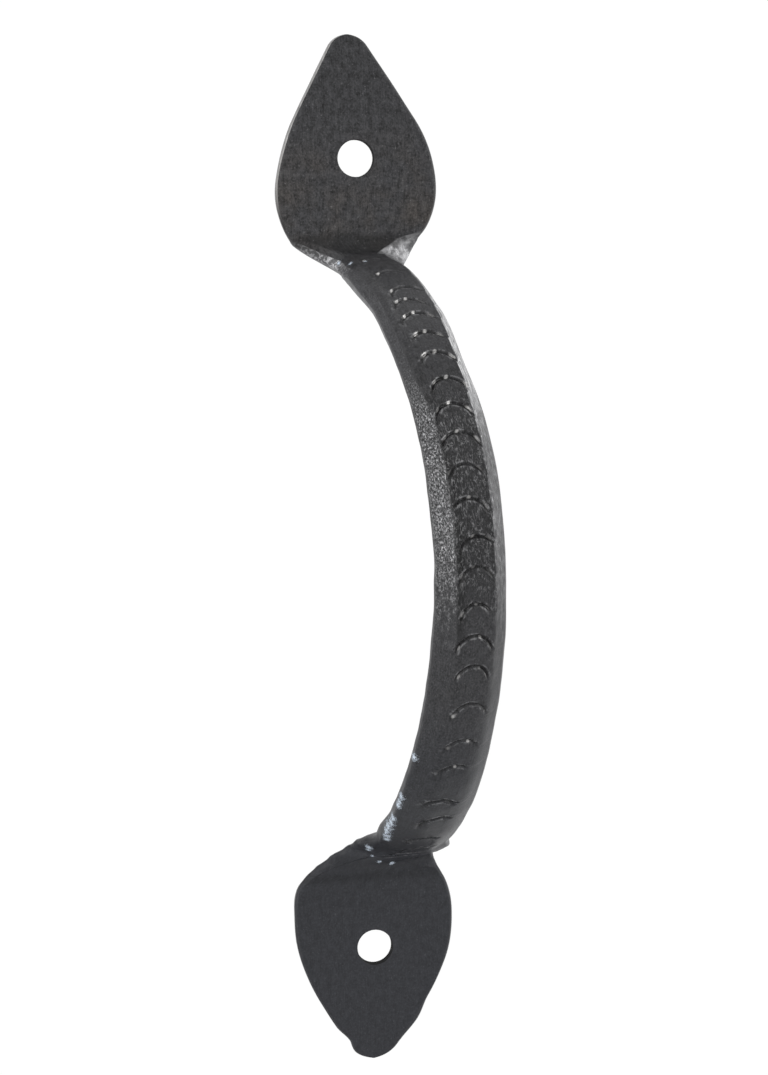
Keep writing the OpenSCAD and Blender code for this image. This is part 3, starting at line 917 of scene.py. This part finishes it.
class BlackenedSteel(Shader):
    """Blackened, brushed and handled steel, bare along its bevels, with painted light and shade"""

    def __init__(self, finish):
        super().__init__(bpy.data.materials.new("blackened_steel"))
        self.finish = finish
        self.spot = self.give("TexCoord", output="Object")
        self.across, _, self.level = self.split("XYZ", self.spot)
        self.left, self.right, self.edge = self.split("Color", self.read("zone", "Color"))
        self.outer = self.read("zone", "Alpha")
        self.inside, self.lifted, self.leafy = self.split("Color", self.read("work", "Color"))
        self.bow = 1.0 - self.leafy
        self.web = self.read("web")
        # Painted shade in the creases and at the lower root
        self.scaled = self.read("shaded")
        # Specks of scale, clumps of them, the brush's streaks along the bar, folds and soft clouds
        self.specks = self.grained(2.5, 2.1, 3.0, 0.75)
        self.clumps = self.grained(0.8, 0.6, 3.0, 0.6)
        self.streaks = self.grained(5.0, 0.3, 3.0, 0.6)
        self.folds = self.noise(self.spot, 700.0, 2.0, 0.5)
        self.clouds = self.noise(self.spot, 150.0, 3.0, 0.5)
        # The middle of the bow, with ragged ends, and the grain's strength, less on the lower leaf
        self.ragged = self.level + (self.clumps - 0.5) * 0.030
        self.middle = self.band(self.ragged, -0.011, 0.010) * self.band(self.ragged, 0.041, 0.030)
        self.calm = self.at(-48, -58, 1.0, 0.32)

    def at(self, low, high, to_low=0.0, to_high=1.0):
        """A soft step along the pull, from one height to another in mm"""
        return self.band(self.level, low * MM, high * MM, to_low, to_high)

    def grained(self, across, along, detail, roughness, distortion=0.0):
        """Noise that is laid along the bar, with its bumps per mm across and along"""
        grain = self.give("UVMap", uv_map="grain")
        laid = self.give("Mapping", {"Vector": grain, "Scale": (across, along, 1)})
        return self.noise(laid, 1.0, detail, roughness, distortion)

    def blackened(self):
        """Colour of the blackened skin: its tints, its grain and its lighter and darker stretches, some of
        them painted light and shade
        """
        finish = self.finish
        browned = self.at(55, 66) * self.at(86, 70) * self.band(self.clouds, 0.35, 0.7)
        skin = self.blend(finish.black, finish.brown, browned)
        skin = self.blend(skin, finish.blue, self.at(-20, -40) * 0.5)
        coarse = self.band(self.clumps, 0.3, 0.7) * (0.35 + self.leafy * 0.2)
        grained = self.band(self.specks, 0.32, 0.68) * (0.75 - self.leafy * 0.15)
        grained += coarse + self.band(self.streaks, 0.3, 0.7) * 0.3
        shade = 0.96 + (grained - 0.62) * (self.calm * (1.1 + self.leafy * 0.5))
        # The upper bow is painted lighter, as light from above would make it, and the middle darker
        tone = self.at(34, 50, 0.84, 1.18) + self.middle * -0.41
        tone += self.at(4, -9) * self.at(-38, -26) * 0.26
        # Painted light on the upper left bevel
        tone += self.left * self.at(30, 40) * 0.36
        shade *= self.leafy + self.bow * tone
        shade *= self.at(72, 96, 1.0, 0.82)
        # Painted shade in the creases and at the lower root, and darker along the left of the face
        shade *= 1.0 - self.scaled * 0.75
        # Painted light: a paler band across the lower root's bend, which faces down, away from the lamps
        shade *= 1.0 + self.at(-55.5, -59) * self.at(-64, -61.5) * 0.8
        shades = self.give("CombineColor", {0: shade, 1: shade, 2: shade})
        return self.blend(skin, shades, 1.0, "MULTIPLY")

    def brushed(self):
        """Bare steel of the brushed right bevel, with a painted highlight toward its upper end"""
        lines = self.band(self.streaks, 0.40, 0.60, 0.06, 0.40)
        lines *= self.band(self.clumps, 0.35, 0.65, 0.75, 1.25)
        outward = (self.outer - 0.5) * self.at(4, -8, 0.0, 1.5)
        brushed = self.right * self.bow * lines * (1.0 + outward)
        brushed *= self.band(self.ragged, -0.014, 0.012, 0.12, 1.0)
        return brushed * (self.at(24, 37, 1.0, 2.8) * self.at(56, 50, 0.3, 1.0))

    def peened(self):
        """Bare steel between the dents of the peened left bevel"""
        sparkle = self.band(self.specks, 0.50, 0.62) * self.band(self.clumps, 0.38, 0.56, 0.15, 1.0)
        grainy = self.band(self.specks, 0.44, 0.60) * 0.19 + sparkle * 0.54
        return self.left * self.bow * self.middle * (self.at(12, 26, 0.05, 0.02) + grainy)

    def handled(self):
        """Bare steel where hands have rubbed the bar's edges; on the upper left side it is partly a painted
        sheen, and it stays off where shade is painted
        """
        worn = self.edge * self.band(self.clouds, 0.3, 0.7, 0.2, 0.5)
        return worn * self.band(self.scaled, 0.0, 0.3, 1.0, 0.0)

    def creased(self):
        """Bare steel on the folds of the upper webs, partly a painted highlight for the light that the folds
        catch
        """
        flecks = self.band(self.noise(self.spot, 1700.0, 2.0, 0.5), 0.46, 0.60, 0.20, 1.1)
        folded = self.left * flecks + (1.0 - self.left) * self.band(self.folds, 0.34, 0.64, 0.22, 0.85)
        return self.web * self.at(0, 10, 0.0, 0.8) * folded

    def mottled(self):
        """Bare steel of the gripped front: short fibres, curls, and sparks all over"""
        fibres = self.band(self.grained(2.8, 0.9, 3.0, 0.75), 0.54, 0.65)
        fibres *= self.band(self.clumps, 0.35, 0.6, 0.10, 0.34)
        curls = self.grained(0.9, 0.36, 2.0, 0.5, 1.6) - 0.5
        curls = self.band(self.math("ABSOLUTE", curls), 0.035, 0.0)
        curls *= self.band(self.clumps, 0.42, 0.58, 0.06, 0.30)
        sparks = self.band(self.specks, 0.62, 0.74) * (self.calm * (0.18 + self.leafy * 0.12))
        return self.most(self.middle * self.bow * self.most(fibres, curls), sparks)

    def polished(self):
        """The painted glints on the marks' rims, and a painted highlight along the upper leaf's left rim"""
        rim = self.left * self.leafy * self.at(66, 74)
        return self.most(self.read("worn"), rim * self.band(self.streaks, 0.35, 0.65, 0.3, 0.62))

    def hole_walls(self, bar):
        """Painted shade: 1 on the inner faces of the punched screw holes"""
        above = self.math("ABSOLUTE", self.level) - bar.hole_z
        away = self.math("SQRT", self.across * self.across + above * above)
        return self.band(away, bar.hole_r + 0.08 * MM, bar.hole_r + 0.02 * MM)

    def scuffed(self, scuffs_and_highlights):
        """Pale patches, torn at their rims: rubbed spots on the steel, and painted highlights at the roots"""
        torn = self.give("Mapping", {"Vector": self.spot, "Scale": (5200, 5200, 3000)})
        torn = self.noise(torn, 1.0, 4.0, 0.9)
        patches = []
        for place, size in scuffs_and_highlights:
            away = self.give("VectorMath", {0: self.spot, 1: place}, "Value", operation="DISTANCE")
            patches.append(self.band(torn + self.band(away, size, 0.0, 0.0, 0.30), 0.72, 0.80))
        return self.most(*patches)

    def roughness(self, pale, hole_shade):
        rough = self.finish.roughness + (self.specks - 0.5) * 0.5
        smoother = self.most(self.inside, self.lifted) * 0.2
        return self.most(self.math("SUBTRACT", rough, smoother, clamp=True), pale * 0.8, hole_shade)

    def pits(self):
        """Fine relief of the scale, the peening, the webs' folds and the brush"""
        peened = self.middle * (0.3 + self.left * 0.8)
        pits = self.specks * (self.calm * 0.4 + peened)
        pits += self.folds * (self.web * 3.0)
        pits += self.streaks * 0.3
        return self.give("Bump", {"Height": pits, "Strength": 1.0, "Distance": 0.09 * MM})

    def material(self, scuffs_and_highlights, bar):
        finish = self.finish
        lip = self.lifted * self.band(self.clumps, 0.46, 0.60, 0.0, 0.35)
        bare = self.most(self.brushed(), self.peened(), self.handled(), lip, self.creased())
        bare = self.math("ADD", bare, self.mottled(), clamp=True)
        dents = self.left * self.middle * self.band(self.specks, 0.46, 0.36, 0.0, 0.8)
        dark = self.most(self.inside * 0.75, dents)
        # Painted glints on the marks and a painted highlight on the upper leaf's left rim
        painted_highlight = self.polished()
        # Painted shade inside the screw holes
        hole_shade = self.hole_walls(bar)
        # Pale rubbed spots, and painted highlights at the roots
        pale = self.scuffed(scuffs_and_highlights)

        # Painted highlight on the right bevel's upper end
        bright = self.right * (1.0 - self.web) * self.at(24, 40)
        skin = self.blend(self.blackened(), self.blend(finish.steel, finish.bright, bright), bare)
        skin = self.blend(skin, finish.deep, dark)
        skin = self.blend(skin, finish.rim, painted_highlight)
        skin = self.blend(skin, finish.wall, hole_shade)
        skin = self.blend(skin, finish.scuff, pale)
        bare = self.most(bare * (1.0 - dark), painted_highlight) * (1.0 - hole_shade)
        surface = self.give("BsdfPrincipled", {
            "Base Color": skin,
            "Metallic": self.math("SUBTRACT", bare, pale, clamp=True) * 0.9,
            "Roughness": self.roughness(pale, hole_shade),
            "Specular IOR Level": 0.2,
            "Normal": self.pits(),
        })
        self.node("OutputMaterial", {"Surface": surface})
        return self.owner


class PULL_OT_forge(bpy.types.Operator):
    """Forge the pull from one bar, strike its chisel marks, punch its screw holes and finish it"""
    bl_idname = "pull.forge"
    bl_label = "Forge the pull"

    def execute(self, context):
        scene = context.scene
        bar = ForgedBar(scene.pull_sizes, scene.pull_marks)
        piece = add_object("bow_pull", forge_sheet(bar))
        punch(piece, punch_for_holes(bar))
        mend_holes(piece, bar)
        # Where the pale rubbed spots and painted highlights lie on the piece
        scuffs_and_highlights = [(piece.closest_point_on_mesh(bar.place(around, run * MM)[0])[1], size * MM)
                  for run, around, size in SCUFFS_AND_HIGHLIGHTS]
        piece.data.materials.clear()
        piece.data.materials.append(BlackenedSteel(scene.pull_finish).material(scuffs_and_highlights, bar))
        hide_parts(NODE)
        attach(piece, "root")
        return {"FINISHED"}


def white_paper(studio):
    """Pale paper that shows white to the camera and keeps a faint shadow"""
    s = Shader(bpy.data.materials.new("white_paper"))
    paper = s.give("BsdfDiffuse", {"Color": studio.paper})
    white = s.give("Emission", {"Color": (1, 1, 1), "Strength": PAPER_GLOW})
    mixed = s.give("MixShader", {0: s.seen() * PAPER_SHARE, 1: paper, 2: white})
    s.node("OutputMaterial", {"Surface": mixed})
    return s.owner


def white_room():
    """A world that lights softly and shows white to the camera"""
    s = Shader(bpy.data.worlds.new("white_room"))
    strength = s.give("MapRange", {0: s.seen(), 3: ROOM_LIGHT, 4: 1.0})
    light = s.give("Background", {"Color": (1, 1, 1), "Strength": strength})
    s.node("OutputWorld", {"Surface": light})
    return s.owner


def paper_sweep(floor_z):
    """Floor and backdrop as one sheet with a round corner"""
    half_width, half_depth = 2, 1.2
    forward = 0.2
    wall_height = 2.2
    corner_r = 0.4
    sheet = bmesh.new()
    bmesh.ops.create_grid(sheet, x_segments=1, y_segments=1, size=1)
    bmesh.ops.transform(sheet, matrix=Matrix.Diagonal((half_width, half_depth, 1, 1)), verts=sheet.verts)
    bmesh.ops.translate(sheet, vec=(0, -forward, floor_z), verts=sheet.verts)
    back = [e for e in sheet.edges if all(v.co.y > 0 for v in e.verts)]
    wall = bmesh.ops.extrude_edge_only(sheet, edges=back)["geom"]
    top = [v for v in wall if isinstance(v, bmesh.types.BMVert)]
    bmesh.ops.translate(sheet, vec=(0, 0, wall_height), verts=top)
    bmesh.ops.bevel(sheet, geom=back, offset=corner_r, offset_type="OFFSET", segments=16, profile=0.5,
                    affect="EDGES", material=-1)
    bmesh.ops.recalc_face_normals(sheet, faces=sheet.faces)
    for face in sheet.faces:
        face.smooth = True
    return sheet


def add_lamp(name, place, size, power):
    """A flat lamp that faces the pull"""
    lamp = bpy.data.lights.new(name, "AREA")
    lamp.shape = "RECTANGLE"
    lamp.size, lamp.size_y = size
    lamp.energy = power
    box = bpy.data.objects.new(name, lamp)
    box.location = place
    box.rotation_euler = (-Vector(place)).to_track_quat("-Z", "Y").to_euler()
    bpy.context.scene.collection.objects.link(box)


class PULL_OT_stage(bpy.types.Operator):
    """Set the camera, soft lights and white paper round the pull"""
    bl_idname = "pull.stage"
    bl_label = "Set the stage"

    def execute(self, context):
        scene = context.scene
        studio = scene.pull_studio
        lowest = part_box(NODE)[0].z
        floor = add_object("paper_floor", paper_sweep(lowest - studio.floor_gap))
        floor.data.materials.append(white_paper(studio))
        self.set_camera(scene, studio)
        for lamp in LAMPS:
            add_lamp(*lamp)
        scene.world = white_room()
        scene.view_settings.view_transform = "Standard"
        return {"FINISHED"}

    def set_camera(self, scene, studio):
        a, e = studio.azimuth, studio.elevation
        back = Vector((sin(a) * cos(e), -cos(a) * cos(e), sin(e)))
        right = Vector((0, 0, 1)).cross(back).normalized()
        up = back.cross(right)
        turned = right * cos(studio.roll) + up * sin(studio.roll)
        upright = back.cross(turned)
        view = Matrix((turned, upright, back)).transposed().to_4x4()
        lens = bpy.data.cameras.new("camera")
        lens.sensor_fit = "VERTICAL"
        lens.lens = studio.focal / PHOTO_H * lens.sensor_height
        lens.shift_x = (PHOTO_W / 2 - studio.origin_x) / PHOTO_H
        lens.shift_y = (studio.origin_y - PHOTO_H / 2) / PHOTO_H
        lens.clip_start = 0.01
        camera = bpy.data.objects.new("camera", lens)
        camera.matrix_world = Matrix.Translation(back * studio.distance) @ view
        scene.collection.objects.link(camera)
        scene.camera = camera


class PULL_PT_panel(bpy.types.Panel):
    """Lists the pull's sizes, its finish and the steps that make it"""
    bl_idname = "PULL_PT_panel"
    bl_label = "Forged bow pull"
    bl_space_type = "VIEW_3D"
    bl_region_type = "UI"
    bl_category = "Pull"

    def draw(self, context):
        scene = context.scene
        for group in (scene.pull_sizes, scene.pull_marks, scene.pull_finish, scene.pull_studio):
            box = self.layout.box()
            for name in group.bl_rna.properties.keys():
                if name not in ("rna_type", "name"):
                    box.prop(group, name)
        for step in STEPS:
            self.layout.operator(step.bl_idname)


GROUPS = {
    "pull_sizes": PullSizes,
    "pull_marks": MarkSizes,
    "pull_finish": PullFinish,
    "pull_studio": StudioSettings,
}
STEPS = (PULL_OT_forge, PULL_OT_stage)


def register():
    for cls in (*GROUPS.values(), *STEPS, PULL_PT_panel):
        bpy.utils.register_class(cls)
    for name, group in GROUPS.items():
        setattr(bpy.types.Scene, name, PointerProperty(type=group))


def unregister():
    for name in GROUPS:
        delattr(bpy.types.Scene, name)
    for cls in reversed((*GROUPS.values(), *STEPS, PULL_PT_panel)):
        bpy.utils.unregister_class(cls)


def main():
    register()
    bpy.ops.pull.forge()
    bpy.ops.pull.stage()


if __name__ == "__main__":
    main()
